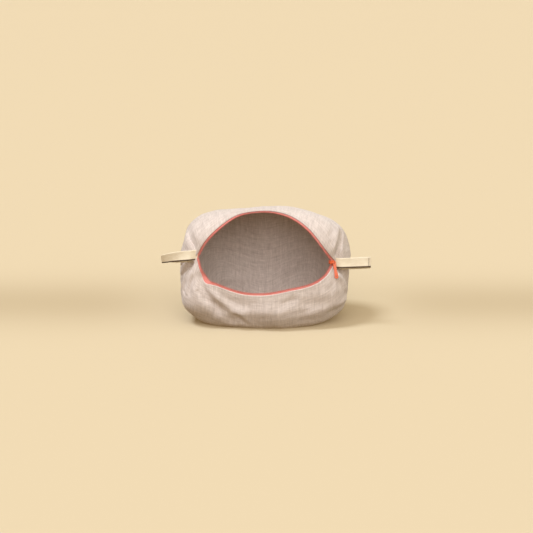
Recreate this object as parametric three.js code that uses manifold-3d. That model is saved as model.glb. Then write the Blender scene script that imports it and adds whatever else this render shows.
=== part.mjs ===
// Linen produce bag with a long zip, standing filled out and open.
// Sizes are millimetres. +X is the slider's end, -Y the front, where the mouth opens, +Z is up.
// The cloth follows a rounded body, pulled in by folds and pushed out by swells.
import * as THREE from "three";
import Module from "manifold-3d";
import { mergeVertices } from "three/addons/utils/BufferGeometryUtils.js";

const { clamp, degToRad, lerp, smoothstep } = THREE.MathUtils;

// Body: fullest at its waist, with a flat base where it drops below the ground
const body = {
  halfLength: 177,
  halfDepth: 92,
  waist: 105,
  crown: 136,
  keel: 113,
  planPower: 3.0,
  keelPower: 3.7,
  crownPower: 3.1,
};

// Cloth and trimmings
const clothThickness = 2;
const seamShare = 0.9958;
const lipAllowance = 4;
const tapeThickness = 1;
const tapeGap = 0.7;
const tapeInner = 1.5;
const tapeOuter = 16;
const coilRadius = 1.1;

// Mouth: one row for each station along the zip, from the left corner to the right one.
// side is the angle towards +X, turn the angle about X: 0 is the front, 90 the top.
const mouth = [
  { lowSide: -43.6, lowTurn: 24, highSide: -43.6, highTurn: 24 },
  { lowSide: -39.2, lowTurn: 4.2, highSide: -34.4, highTurn: 36.4 },
  { lowSide: -28.2, lowTurn: -4.6, highSide: -24, highTurn: 49.8 },
  { lowSide: -14.5, lowTurn: -11.1, highSide: -12.3, highTurn: 68 },
  { lowSide: 0, lowTurn: -11.6, highSide: 0, highTurn: 74 },
  { lowSide: 14.8, lowTurn: -7.9, highSide: 11.3, highTurn: 64.4 },
  { lowSide: 28.8, lowTurn: -3.2, highSide: 22.4, highTurn: 48 },
  { lowSide: 39, lowTurn: 6.2, highSide: 34.3, highTurn: 30 },
  { lowSide: 44.8, lowTurn: 18.4, highSide: 44.8, highTurn: 18.4 },
];

// Stretches where more of the tape shows: one low on the left, and both sides of the slider
const wideTape = [
  { panel: "front", across: -0.69, reach: 0.09, more: 5 },
  { panel: "front", across: 1, reach: 0.12, more: 1.4 },
  { panel: "back", across: 1, reach: 0.12, more: 2 },
];

// Bottom seam along the lower back edge, and the way that each panel takes to it
const bottomSide = 36;
const bottomTurn = -140;
const seamTurn = 0.22;
const frontTurn = -62;
const backTurn = 145;
const middlePull = 1.5;
const middleCrowding = 0.25;

// Swells and hollows: where, how far they reach and how far they lift the cloth
const swells = [
  { name: "upper left corner", x: -152, y: 0, z: 206, reach: 36, lift: 4 },
  { name: "left end above the tab", x: -170, y: 0, z: 180, reach: 24, lift: -5 },
  { name: "left end below the tab", x: -177, y: -8, z: 70, reach: 40, lift: -2 },
  { name: "right end below the tab", x: 177, y: -10, z: 84, reach: 36, lift: -5 },
  { name: "left of the crown", x: -50, y: 42, z: 236, reach: 52, lift: -7.5 },
  { name: "right of the crown", x: 118, y: 36, z: 224, reach: 42, lift: -6 },
  { name: "lower left corner", x: -156, y: -40, z: 24, reach: 34, lift: 3 },
  { name: "left lobe", x: -150, y: -68, z: 60, reach: 36, lift: 9 },
  { name: "right lobe", x: 142, y: -72, z: 66, reach: 36, lift: 7 },
  { name: "left tab hollow", x: -139, y: -71, z: 153, reach: 27, lift: -7 },
  { name: "right tab hollow", x: 143, y: -71, z: 139, reach: 27, lift: -7 },
  { name: "hollow by the lip", x: -128, y: -78, z: 110, reach: 13, lift: -6 },
  { name: "under the right corner", x: 146, y: -62, z: 28, reach: 30, lift: -6 },
  { name: "right end", x: 177, y: 0, z: 145, reach: 46, lift: 3 },
  { name: "right end above the tab", x: 171, y: -38, z: 180, reach: 26, lift: -6 },
  { name: "front belly", x: 16, y: -92, z: 44, reach: 60, lift: 7 },
  { name: "front above the base", x: 20, y: -92, z: 32, reach: 30, lift: 4 },
  { name: "back left", x: -70, y: 92, z: 130, reach: 62, lift: 7 },
  { name: "back right", x: 96, y: 90, z: 92, reach: 54, lift: 6 },
  { name: "back middle", x: 16, y: 92, z: 150, reach: 40, lift: -4 },
  { name: "crown dip", x: 70, y: 40, z: 236, reach: 50, lift: -3 },
];

// Folds: each runs from one point by another to a third; lift is below zero in a valley.
// fade is the share of the lift that is left at its far end.
const folds = [
  { name: "upper right seam", from: [149, -66, 150], by: [155, -55, 177], to: [167, -10, 205],
    reach: 7, lift: -6, fade: 0.35 },
  { name: "lower right seam", from: [152, -65, 128], by: [165, -52, 109], to: [174, -31, 80],
    reach: 7, lift: -9, fade: 0.3 },
  { name: "right shoulder", from: [145, -72, 124], by: [157, -62, 104], to: [167, -46, 78],
    reach: 6, lift: 3.4, fade: 0.4 },
  { name: "upper left seam", from: [-142, -67, 165], by: [-151, -55, 184], to: [-160, -24, 204],
    reach: 8, lift: -6, fade: 0.4 },
  { name: "lower left seam", from: [-152, -65, 135], by: [-166, -50, 116], to: [-176, -29, 86],
    reach: 8, lift: -8.5, fade: 0.3 },
  { name: "left shoulder", from: [-146, -71, 134], by: [-158, -61, 116], to: [-168, -44, 88],
    reach: 7, lift: 3, fade: 0.4 },
  { name: "left valley", from: [-127, -79, 110], by: [-112, -82, 66], to: [-62, -82, 24],
    reach: 10, lift: -8, fade: 0.5 },
  { name: "slanting ridge", from: [-112, -83, 86], by: [-88, -87, 60], to: [-46, -88, 38],
    reach: 9, lift: 4, fade: 0.4 },
  { name: "right facet", from: [164, -46, 56], by: [140, -70, 50], to: [92, -84, 38],
    reach: 9, lift: 4, fade: 0.3 },
  { name: "left pleat", from: [-150, -67, 122], by: [-160, -58, 104], to: [-164, -54, 80],
    reach: 5, lift: -2.2, fade: 0.5 },
  { name: "inner left pleat", from: [-141, -72, 120], by: [-149, -68, 98], to: [-151, -65, 76],
    reach: 5, lift: -2.4, fade: 0.5 },
  { name: "left end fold", from: [-162, 10, 176], by: [-176, 20, 140], to: [-177, 6, 96],
    reach: 10, lift: -4, fade: 0.4 },
  { name: "right end fold", from: [166, 26, 60], by: [176, 16, 96], to: [176, -14, 124],
    reach: 10, lift: -4, fade: 0.5 },
  { name: "back left fold", from: [-150, 60, 186], by: [-116, 84, 150], to: [-52, 92, 136],
    reach: 12, lift: -5, fade: 0.3 },
  { name: "back right fold", from: [158, 52, 176], by: [120, 84, 136], to: [64, 92, 104],
    reach: 12, lift: -5, fade: 0.3 },
  { name: "back low fold", from: [-146, 60, 44], by: [-96, 86, 62], to: [-30, 92, 60],
    reach: 11, lift: -4, fade: 0.4 },
];
const foldSteps = 8;
const foldBank = 0.3;
const foldBankAt = 1.9;
const zipHolds = [12, 34];

// Grid of the solids
const panelColumns = 54;
const panelRows = 25;
const tapeRows = 3;
const endCrowding = 0.12;
const pathSteps = 64;

function towards(side, turn) {
  const s = degToRad(side);
  const t = degToRad(turn);
  return new THREE.Vector3(Math.sin(s), -Math.cos(s) * Math.cos(t), Math.cos(s) * Math.sin(t));
}

// Point and outward normal of the plain body in a direction from its middle
function plainBody(direction) {
  const d = direction.clone().normalize();
  const size = new THREE.Vector3(body.halfLength, body.halfDepth, d.z > 0 ? body.crown : body.keel);
  const side = lerp(body.keelPower, body.crownPower, smoothstep(d.z, -0.7, 0.7));
  const [ax, ay, az] = [Math.abs(d.x), Math.abs(d.y), Math.abs(d.z)];
  const plan = ax ** body.planPower + ay ** body.planPower;
  const reach = (plan ** (side / body.planPower) + az ** side) ** (-1 / side);
  const planPull = plan ** (side / body.planPower - 1);
  const normal = new THREE.Vector3(
    (Math.sign(d.x) * planPull * ax ** (body.planPower - 1)) / size.x,
    (Math.sign(d.y) * planPull * ay ** (body.planPower - 1)) / size.y,
    (Math.sign(d.z) * az ** (side - 1)) / size.z,
  ).normalize();
  const point = d.multiplyScalar(reach).multiply(size);
  point.z += body.waist;
  return { point, normal };
}

// A fold's line passes through its three points
function foldLine(fold) {
  const from = new THREE.Vector3(...fold.from);
  const to = new THREE.Vector3(...fold.to);
  const bend = new THREE.Vector3(...fold.by).multiplyScalar(2);
  bend.addScaledVector(from, -0.5).addScaledVector(to, -0.5);
  return new THREE.QuadraticBezierCurve3(from, bend, to).getPoints(foldSteps);
}
const foldLines = folds.map(foldLine);

function nearestOnLine(point, line) {
  const nearest = { distance: Infinity, share: 0 };
  const foot = new THREE.Vector3();
  for (let i = 0; i + 1 < line.length; i += 1) {
    const segment = new THREE.Line3(line[i], line[i + 1]);
    const along = segment.closestPointToPointParameter(point, true);
    const distance = segment.at(along, foot).distanceTo(point);
    if (distance < nearest.distance) {
      nearest.distance = distance;
      nearest.share = (i + along) / (line.length - 1);
    }
  }
  return nearest;
}

// fromZip is the distance along the cloth from the zip, whose tape keeps folds away from its edge
function relief(point, fromZip) {
  const loose = smoothstep(fromZip, ...zipHolds);
  let lift = 0;
  for (const swell of swells) {
    const away = point.distanceTo(new THREE.Vector3(swell.x, swell.y, swell.z)) / swell.reach;
    lift += swell.lift * Math.exp(-away * away);
  }
  folds.forEach((fold, index) => {
    const nearest = nearestOnLine(point, foldLines[index]);
    const away = nearest.distance / fold.reach;
    const bank = foldBank * Math.exp(-((away - foldBankAt) ** 2));
    const strength = loose * lerp(1, fold.fade, nearest.share);
    lift += fold.lift * strength * (Math.exp(-away * away) - bank);
  });
  return lift;
}

// Outer face of the cloth
function clothPoint(direction, fromZip) {
  const { point, normal } = plainBody(direction);
  point.addScaledVector(normal, relief(point, fromZip));
  point.z = Math.max(point.z, 0);
  return point;
}

const probeAngle = 0.008;
function clothFace(direction, fromZip) {
  const d = direction.clone().normalize();
  const across = new THREE.Vector3(0, 0, 1).cross(d).normalize();
  const up = d.clone().cross(across);
  const probe = (way, sign) =>
    clothPoint(d.clone().addScaledVector(way, sign * probeAngle), fromZip);
  const slopeAcross = probe(across, 1).sub(probe(across, -1));
  const slopeUp = probe(up, 1).sub(probe(up, -1));
  return { point: clothPoint(d, fromZip), normal: slopeAcross.cross(slopeUp).normalize() };
}

// Threads run from the zip to the bottom seam, each measured along the cloth
const lips = {
  front: new THREE.SplineCurve(mouth.map((row) => new THREE.Vector2(row.lowSide, row.lowTurn))),
  back: new THREE.SplineCurve(mouth.map((row) => new THREE.Vector2(row.highSide, row.highTurn))),
};
const middleTurn = { front: frontTurn, back: backTurn };
const endTurn = { front: bottomTurn + seamTurn, back: bottomTurn - seamTurn };
const threads = new Map();

function threadCurve(panel, across) {
  const lip = lips[panel].getPoint((across + 1) / 2);
  const start = towards(lip.x, lip.y);
  const middleSide = 90 * lerp(across, across ** 3, middleCrowding);
  const middle = towards(middleSide, middleTurn[panel]).multiplyScalar(middlePull);
  const end = towards(bottomSide * across, endTurn[panel]);
  return new THREE.QuadraticBezierCurve3(start, middle, end);
}

// A thread that leaves the zip on a slant needs more length to clear the same width of tape
const slantProbe = 0.02;
const mostSlant = 1.8;

function slantOf(panel, across) {
  const near = Math.sign(-across || 1) * slantProbe;
  const here = plainBody(threadCurve(panel, across).getPoint(0)).point;
  const beside = plainBody(threadCurve(panel, across + near).getPoint(0)).point;
  const below = plainBody(threadCurve(panel, across).getPoint(slantProbe)).point;
  const angle = beside.sub(here).angleTo(below.sub(here));
  return Math.min(1 / Math.sin(angle), mostSlant);
}

function thread(panel, across) {
  const key = `${panel} ${across.toFixed(6)}`;
  if (threads.has(key)) {
    return threads.get(key);
  }
  const directions = threadCurve(panel, across).getPoints(pathSteps);
  const lengths = [0];
  for (let i = 1; i <= pathSteps; i += 1) {
    const step = plainBody(directions[i]).point.distanceTo(plainBody(directions[i - 1]).point);
    lengths.push(lengths[i - 1] + step);
  }
  const made = { directions, lengths, length: lengths[pathSteps], slant: slantOf(panel, across) };
  threads.set(key, made);
  return made;
}

function onThread(panel, across, distance) {
  const { directions, lengths } = thread(panel, across);
  let i = 1;
  while (i < pathSteps && lengths[i] < distance) {
    i += 1;
  }
  const along = clamp((distance - lengths[i - 1]) / (lengths[i] - lengths[i - 1]), 0, 1);
  return directions[i - 1].clone().lerp(directions[i], along);
}

function clothAt(panel, across, distance) {
  const { slant } = thread(panel, across);
  return clothFace(onThread(panel, across, distance), distance / slant);
}

// A sheet is a thin block whose points are laid onto the cloth.
// distanceAt(across, share) is the distance from the zip; outer and inner are depths below the
// cloth's outer face.
function sheet(panel, columns, rows, distanceAt, outer, inner) {
  const block = new THREE.BoxGeometry(2, 1, 1, columns, rows, 1);
  const position = block.getAttribute("position");
  const mirrored = panel === "front" ? 1 : -1;
  for (let i = 0; i < position.count; i += 1) {
    const flat = new THREE.Vector3().fromBufferAttribute(position, i);
    const across = flat.x + endCrowding * (flat.x - flat.x ** 3);
    const share = 0.5 - mirrored * flat.y;
    const edge = across * seamShare;
    const { point, normal } = clothAt(panel, edge, distanceAt(edge, share));
    point.addScaledVector(normal, flat.z > 0 ? -outer : -inner);
    position.setXYZ(i, point.x, point.y, point.z);
  }
  return block;
}

// Width of tape that shows beside the zip
function allowance(panel, across) {
  let shown = lipAllowance;
  for (const wide of wideTape.filter((row) => row.panel === panel)) {
    const away = (across - wide.across) / wide.reach;
    shown += wide.more * Math.exp(-away * away);
  }
  return shown;
}

// The first rows over the tape match the tape's own, so that the two lie parallel
const hemRows = tapeRows - 1;

function overTape(panel, across, row) {
  return lerp(allowance(panel, across), tapeOuter, Math.min(row / hemRows, 1));
}

function panelSheet(panel) {
  const distanceAt = (across, share) => {
    const row = share * panelRows;
    const { length, slant } = thread(panel, across);
    const below = Math.max(row - hemRows, 0) / (panelRows - hemRows);
    return overTape(panel, across, row) * slant + (length - tapeOuter * slant) * below;
  };
  return sheet(panel, panelColumns, panelRows, distanceAt, 0, clothThickness);
}

function tapeSheet(panel) {
  const distanceAt = (across, share) => {
    const row = share * tapeRows;
    const shown = lerp(tapeInner, allowance(panel, across), row);
    const place = row < 1 ? shown : overTape(panel, across, row - 1);
    return place * thread(panel, across).slant;
  };
  const top = clothThickness + tapeGap;
  return sheet(panel, panelColumns, tapeRows, distanceAt, top, top + tapeThickness);
}

// Coil: a fine round edge along the zip tape
const coilReach = 0.97;
const coilSides = 6;
const coilPoints = 40;
const tapeMiddle = clothThickness + tapeGap + tapeThickness / 2;

function coil(panel) {
  const route = [];
  for (let i = 0; i <= coilPoints; i += 1) {
    const across = lerp(-coilReach, coilReach, i / coilPoints);
    const { point, normal } = clothAt(panel, across, 0);
    route.push(point.addScaledVector(normal, -tapeMiddle));
  }
  const section = new THREE.Shape();
  for (let i = 0; i < coilSides; i += 1) {
    const angle = (2 * Math.PI * i) / coilSides;
    const place = [coilRadius * Math.cos(angle), coilRadius * Math.sin(angle)];
    if (i === 0) {
      section.moveTo(...place);
    } else {
      section.lineTo(...place);
    }
  }
  const extrudePath = new THREE.CatmullRomCurve3(route);
  return new THREE.ExtrudeGeometry(section, { steps: coilPoints, extrudePath, bevelEnabled: false });
}

const colours = {
  linen: { color: 0xd9c8b8, roughness: 0.95, metalness: 0 },
  coral: { color: 0xf0705c, roughness: 0.8, metalness: 0 },
  orange: { color: 0xef6a35, roughness: 0.45, metalness: 0.2 },
  cream: { color: 0xf4e6c6, roughness: 0.9, metalness: 0 },
};

function piece(name, geometry, colour) {
  const mesh = new THREE.Mesh(geometry, new THREE.MeshStandardMaterial(colour));
  mesh.name = name;
  return mesh;
}

// Slider at the right end of the zip, in a frame of its own:
// X along the zip to the tab, Y up along the cloth, Z out of the cloth, with the tape at Z = 0
const rightCorner = mouth[mouth.length - 1];
const sliderSeat = { side: rightCorner.lowSide - 0.7, turn: rightCorner.lowTurn };
const plate = { length: 11, width: 8.4, waist: 5, thickness: 1.4, standOff: 2 };
const post = { length: 2.2, width: 2, x: -3.9 };
const bridge = { reach: 3.9, height: 5.2, wire: 1.4, width: 1.6 };
const plateTop = plate.standOff + plate.thickness;
const bite = 0.2;

const wasm = await Module();
wasm.setup();

function solidOf(geometry) {
  const bare = geometry.clone();
  bare.deleteAttribute("normal");
  bare.deleteAttribute("uv");
  const merged = mergeVertices(bare, 1e-4);
  const vertProperties = new Float32Array(merged.getAttribute("position").array);
  const triVerts = new Uint32Array(merged.index.array);
  return new wasm.Manifold(new wasm.Mesh({ numProp: 3, vertProperties, triVerts }));
}

function geometryOf(solid) {
  const { vertProperties, triVerts } = solid.getMesh();
  const geometry = new THREE.BufferGeometry();
  geometry.setAttribute("position", new THREE.BufferAttribute(vertProperties, 3));
  geometry.setIndex(new THREE.BufferAttribute(triVerts, 1));
  geometry.computeVertexNormals();
  return geometry;
}

function plateShape() {
  const half = plate.length / 2;
  const shape = new THREE.Shape();
  shape.moveTo(-half, -plate.width / 4);
  shape.quadraticCurveTo(-half, -plate.width / 2, -half / 3, -plate.width / 2);
  shape.quadraticCurveTo(half / 2, -plate.width / 2, half, -plate.waist / 2);
  shape.lineTo(half, plate.waist / 2);
  shape.quadraticCurveTo(half / 2, plate.width / 2, -half / 3, plate.width / 2);
  shape.quadraticCurveTo(-half, plate.width / 2, -half, plate.width / 4);
  return shape;
}

function sliderGeometry() {
  const upper = new THREE.ExtrudeGeometry(plateShape(), {
    depth: plate.thickness,
    bevelEnabled: false,
    curveSegments: 5,
  });
  const lower = upper.clone();
  upper.translate(0, 0, plate.standOff);
  lower.translate(0, 0, -plateTop);
  const pillar = new THREE.BoxGeometry(post.length, post.width, 2 * (plate.standOff + bite));
  pillar.translate(post.x, 0, 0);
  const arch = new THREE.Shape();
  const inner = { reach: bridge.reach - bridge.wire, height: bridge.height - bridge.wire };
  arch.absellipse(0, 0, bridge.reach, bridge.height, 0, Math.PI, false);
  arch.lineTo(-inner.reach, 0);
  arch.absellipse(0, 0, inner.reach, inner.height, Math.PI, 0, true);
  const handle = new THREE.ExtrudeGeometry(arch, {
    depth: bridge.width,
    bevelEnabled: false,
    curveSegments: 8,
  });
  handle.rotateX(Math.PI / 2);
  handle.translate(0, bridge.width / 2, plateTop - bite);
  return geometryOf(
    solidOf(upper).add(solidOf(lower)).add(solidOf(pillar)).add(solidOf(handle)),
  );
}

// Pull: a flat tongue whose eye hangs on the bridge's outer leg, broader at its foot
const pull = {
  length: 37, head: 7.4, waist: 6.2, foot: 8.6, thickness: 1.3, eye: 4.4, hole: 1.3, slant: 2,
};
const waistAt = 16;
const pullStandOff = 1.2;
const pullClear = 2.8;
const pullHang = 0.6;
const legShare = (pullStandOff + pull.thickness / 2) / (bridge.height - bridge.wire / 2);
const pullEyeAt = (bridge.reach - bridge.wire / 2) * Math.sqrt(1 - legShare ** 2);

function pullGeometry() {
  const head = pull.head / 2;
  const foot = pull.foot / 2;
  const footAt = head + foot - pull.length;
  const shape = new THREE.Shape();
  shape.absarc(0, 0, head, 0, Math.PI, false);
  shape.lineTo(-pull.waist / 2, -waistAt);
  shape.absarc(0, footAt, foot, Math.PI, 2 * Math.PI, false);
  shape.lineTo(pull.waist / 2, -waistAt);
  const eye = new THREE.Path();
  eye.absarc(0, 0, pull.eye / 2, 0, 2 * Math.PI, true);
  const hole = new THREE.Path();
  hole.absarc(0, footAt, pull.hole, 0, 2 * Math.PI, true);
  shape.holes.push(eye, hole);
  const tongue = new THREE.ExtrudeGeometry(shape, {
    depth: pull.thickness,
    bevelEnabled: false,
    curveSegments: 8,
  });
  return tongue.translate(0, -pullHang, -pull.thickness / 2);
}

const sliderFrame = new THREE.Group();
{
  const { point, normal } = clothFace(towards(sliderSeat.side, sliderSeat.turn), 0);
  const up = new THREE.Vector3(0, 0, 1);
  const along = up.clone().cross(normal).normalize();
  along.addScaledVector(normal, -along.dot(normal)).normalize();
  sliderFrame.quaternion.setFromRotationMatrix(
    new THREE.Matrix4().makeBasis(along, normal.clone().cross(along), normal),
  );
  sliderFrame.position.copy(point);
  sliderFrame.position.addScaledVector(normal, -tapeMiddle);
  sliderFrame.updateMatrixWorld(true);
}

const pullRests = { side: 48.2, turn: 0.5 };
const pullFrame = new THREE.Group();
{
  const eyeHeight = plateTop + pullStandOff + pull.thickness / 2;
  const under = towards(pullRests.side, pullRests.turn);
  const rest = sliderFrame.worldToLocal(clothPoint(under, pull.length));
  const rise = rest.z + pullClear + pull.thickness / 2 - eyeHeight;
  pullFrame.position.set(pullEyeAt, 0, eyeHeight);
  pullFrame.rotation.set(-Math.asin(rise / pull.length), 0, degToRad(pull.slant), "XZY");
}

// Tabs: a ribbon folded double, its fold at the outer end, sewn in at the end of the zip.
// The outer end lifts, droops and twists as the photograph shows.
// Its two layers part towards their lower edges, and the rear one hangs lower.
const ribbon = { width: 21, thickness: 1, between: 1.6, rearDrop: 4.8, dropRun: 0.15, spread: 2.3 };
const ribbonRows = 4;
const legSteps = 9;
const foldSides = 6;
const foldRadius = (ribbon.between + ribbon.thickness) / 2;
const rightTab = {
  side: 1, length: 68.8, root: 10, raise: 0.7, stand: 1.6, yaw: 6, lift: 1, twist: 3, droop: 0,
};
const leftTab = {
  side: -1, length: 67.4, root: 8, raise: 6.1, stand: 1.2, yaw: 6, lift: -6, twist: -36, droop: 3,
};

// Middle line of the folded ribbon and its way in: out along one layer, round the fold and back
function ribbonLine(tab) {
  const straight = tab.length - foldRadius - ribbon.thickness / 2;
  const stations = [];
  for (let i = 0; i < legSteps; i += 1) {
    const x = (straight * i) / legSteps;
    stations.push({ x, y: -foldRadius, inX: 0, inY: 1 });
  }
  for (let i = 0; i <= foldSides; i += 1) {
    const angle = lerp(-Math.PI / 2, Math.PI / 2, i / foldSides);
    const [cos, sin] = [Math.cos(angle), Math.sin(angle)];
    stations.push({ x: straight + foldRadius * cos, y: foldRadius * sin, inX: -cos, inY: -sin });
  }
  for (let i = legSteps - 1; i >= 0; i -= 1) {
    const x = (straight * i) / legSteps;
    stations.push({ x, y: foldRadius, inX: 0, inY: -1 });
  }
  return stations;
}

function tabGeometry(tab) {
  const stations = ribbonLine(tab);
  const steps = stations.length - 1;
  const strip = new THREE.BoxGeometry(1, ribbon.thickness, ribbon.width, steps, 1, ribbonRows);
  const position = strip.getAttribute("position");
  for (let i = 0; i < position.count; i += 1) {
    const flat = new THREE.Vector3().fromBufferAttribute(position, i);
    const { x, y, inX, inY } = stations[Math.round((flat.x + 0.5) * steps)];
    const share = x / tab.length;
    const grown = Math.min(share / ribbon.dropRun, 1);
    const low = (0.5 - flat.z / ribbon.width) * grown;
    const rear = (1 + (tab.side * y) / foldRadius) / 2;
    const place = new THREE.Vector3(x + flat.y * inX, y + flat.y * inY, flat.z);
    place.y += ribbon.spread * low ** 2 * (y / foldRadius);
    place.z -= ribbon.rearDrop * grown * rear;
    place.applyAxisAngle(new THREE.Vector3(1, 0, 0), degToRad(tab.twist) * share ** 2);
    place.z += tab.lift * share - tab.droop * share ** 3;
    position.setXYZ(i, place.x, place.y, place.z);
  }
  return strip;
}

function placeTab(mesh, tab) {
  const { point, normal } = clothAt("front", tab.side, tab.root);
  const stand = ribbon.thickness + ribbon.between / 2 + tab.stand;
  mesh.position.copy(point).addScaledVector(normal, stand);
  mesh.position.z += tab.raise;
  mesh.rotation.z = tab.side > 0 ? degToRad(tab.yaw) : Math.PI - degToRad(tab.yaw);
  return mesh;
}

const bag = new THREE.Group();
bag.add(piece("front_panel", panelSheet("front"), colours.linen));
bag.add(piece("back_panel", panelSheet("back"), colours.linen));
bag.add(piece("zip_tape_lower", tapeSheet("front"), colours.coral));
bag.add(piece("zip_tape_upper", tapeSheet("back"), colours.coral));
bag.add(piece("zip_coil_lower", coil("front"), colours.coral));
bag.add(piece("zip_coil_upper", coil("back"), colours.coral));
sliderFrame.add(piece("zip_slider", sliderGeometry(), colours.orange));
pullFrame.add(piece("zip_pull", pullGeometry(), colours.orange));
sliderFrame.add(pullFrame);
bag.add(sliderFrame);
bag.add(placeTab(piece("tab_right", tabGeometry(rightTab), colours.cream), rightTab));
bag.add(placeTab(piece("tab_left", tabGeometry(leftTab), colours.cream), leftTab));

export default bag;
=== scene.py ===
# %% [markdown]
# # A linen produce bag
# The bag is a soft, boxy pouch of undyed linen that stands filled out, with its mouth open along a
# coral zip. The CAD model holds its sizes and is loaded as a fixed frame. Each piece made here is
# a finer, thinner form of one CAD solid and takes its place.

# %% Load the CAD model
import math

import bmesh
import bpy
import numpy as np
from mathutils import Matrix, Vector, noise


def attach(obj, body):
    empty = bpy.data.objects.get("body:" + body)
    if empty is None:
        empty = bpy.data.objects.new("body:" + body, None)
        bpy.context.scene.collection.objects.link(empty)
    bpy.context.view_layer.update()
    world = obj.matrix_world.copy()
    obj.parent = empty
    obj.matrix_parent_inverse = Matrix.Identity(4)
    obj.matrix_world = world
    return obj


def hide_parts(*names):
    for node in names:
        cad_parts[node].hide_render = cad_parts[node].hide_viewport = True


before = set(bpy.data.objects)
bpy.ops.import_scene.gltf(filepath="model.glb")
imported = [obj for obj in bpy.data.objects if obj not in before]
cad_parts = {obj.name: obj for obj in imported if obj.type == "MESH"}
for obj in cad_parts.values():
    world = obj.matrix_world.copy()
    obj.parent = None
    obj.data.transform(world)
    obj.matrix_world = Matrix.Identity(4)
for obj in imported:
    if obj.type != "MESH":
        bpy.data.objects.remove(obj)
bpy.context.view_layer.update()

mm = 0.001
print("CAD nodes:", ", ".join(sorted(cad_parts)))

# %% [markdown]
# ## The camera
# The photograph looks a little down on the bag from the front, through a long lens, so that its
# sides hardly converge. The camera is placed by that angle, before anything else is made.

# %% Camera
camera_distance = 3.0
camera_pitch = math.radians(15)
camera_target = Vector((0.003, 0.0, 0.1135))
camera_data = bpy.data.cameras.new("camera")
camera_data.sensor_width = 36
camera_data.lens = 96.5
camera = bpy.data.objects.new("camera", camera_data)
away = Vector((0, -math.cos(camera_pitch), math.sin(camera_pitch)))
camera.location = camera_target + camera_distance * away
camera.rotation_euler = (math.pi / 2 - camera_pitch, 0, 0)
bpy.context.scene.collection.objects.link(camera)
bpy.context.scene.camera = camera
print("camera at", tuple(round(x, 3) for x in camera.location))

# %% [markdown]
# ## The cloth's form
# Linen that is filled out takes a rounded boxy form, flat below where it rests. It could be
# sculpted by hand, or settled by a cloth simulation. Here it follows the same named sizes as the
# CAD solids, so that both agree: a rounded body, swells and hollows on it, and folds along short
# curves. All sizes up to the stitches are millimetres, as a maker would note them.

# %% Sizes of the body
body = {
    "half_length": 177,
    "half_depth": 92,
    "waist": 105,
    "crown": 136,
    "keel": 113,
    "plan_power": 3.0,
    "keel_power": 3.7,
    "crown_power": 3.1,
    "powers_meet_over": 0.7,
}


def blend_step(value, low, high):
    """A smooth step from 0 at low to 1 at high."""
    share = np.clip((value - low) / (high - low), 0, 1)
    return share * share * (3 - 2 * share)


def towards(side, turn):
    """Directions: side is the angle towards +X, turn the angle about X, 0 in front, 90 at the top."""
    s, t = np.radians(side), np.radians(turn)
    return np.stack([np.sin(s), -np.cos(s) * np.cos(t), np.cos(s) * np.sin(t)], axis=-1)


def unit(vectors):
    """The same vectors at a length of one."""
    return vectors / np.linalg.norm(vectors, axis=-1, keepdims=True)


def half_sizes(up):
    """Half length, half depth and half height of the body, where up tells above from below."""
    height = np.where(up > 0, body["crown"], body["keel"]).astype(float)
    length = np.full_like(height, body["half_length"])
    depth = np.full_like(height, body["half_depth"])
    return np.stack([length, depth, height], axis=-1)


def plain_body(directions):
    """Points and outward normals of the plain body in directions from its middle."""
    d = unit(directions)
    sizes = half_sizes(d[..., 2])
    meet = body["powers_meet_over"]
    more = body["crown_power"] - body["keel_power"]
    side = body["keel_power"] + more * blend_step(d[..., 2], -meet, meet)
    # The two tiny numbers keep every power above zero, level and straight up
    ax, ay, az = np.abs(d[..., 0]), np.abs(d[..., 1]), np.maximum(np.abs(d[..., 2]), 1e-9)
    power = body["plan_power"]
    plan = np.maximum(ax**power + ay**power, 1e-12)
    reach = (plan ** (side / power) + az**side) ** (-1 / side)
    pull = plan ** (side / power - 1)
    slopes = np.stack(
        [pull * ax ** (power - 1), pull * ay ** (power - 1), az ** (side - 1)], axis=-1
    )
    normals = np.sign(d) * slopes / sizes
    points = d * reach[..., None] * sizes
    points[..., 2] += body["waist"]
    return points, unit(normals)


# %% [markdown]
# ## Swells, hollows and folds
# The first two tables are the large forms that the CAD solids have too. The last one adds finer
# creases, and a few soft corrections for which the solids are too coarse. Each fold runs from one
# point by another to a third.

# %% Tables of the relief
# Name, x, y, z, reach, lift
swells = [
    ("upper left corner", -152, 0, 206, 36, 4),
    ("left end above the tab", -170, 0, 180, 24, -5),
    ("left end below the tab", -177, -8, 70, 40, -2),
    ("right end below the tab", 177, -10, 84, 36, -5),
    ("left of the crown", -50, 42, 236, 52, -7.5),
    ("right of the crown", 118, 36, 224, 42, -6),
    ("lower left corner", -156, -40, 24, 34, 3),
    ("left lobe", -150, -68, 60, 36, 9),
    ("right lobe", 142, -72, 66, 36, 7),
    ("left tab hollow", -139, -71, 153, 27, -7),
    ("right tab hollow", 143, -71, 139, 27, -7),
    ("hollow by the lip", -128, -78, 110, 13, -6),
    ("under the right corner", 146, -62, 28, 30, -6),
    ("right end", 177, 0, 145, 46, 3),
    ("right end above the tab", 171, -38, 180, 26, -6),
    ("front belly", 16, -92, 44, 60, 7),
    ("front above the base", 20, -92, 32, 30, 4),
    ("back left", -70, 92, 130, 62, 7),
    ("back right", 96, 90, 92, 54, 6),
    ("back middle", 16, 92, 150, 40, -4),
    ("crown dip", 70, 40, 236, 50, -3),
]

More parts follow.
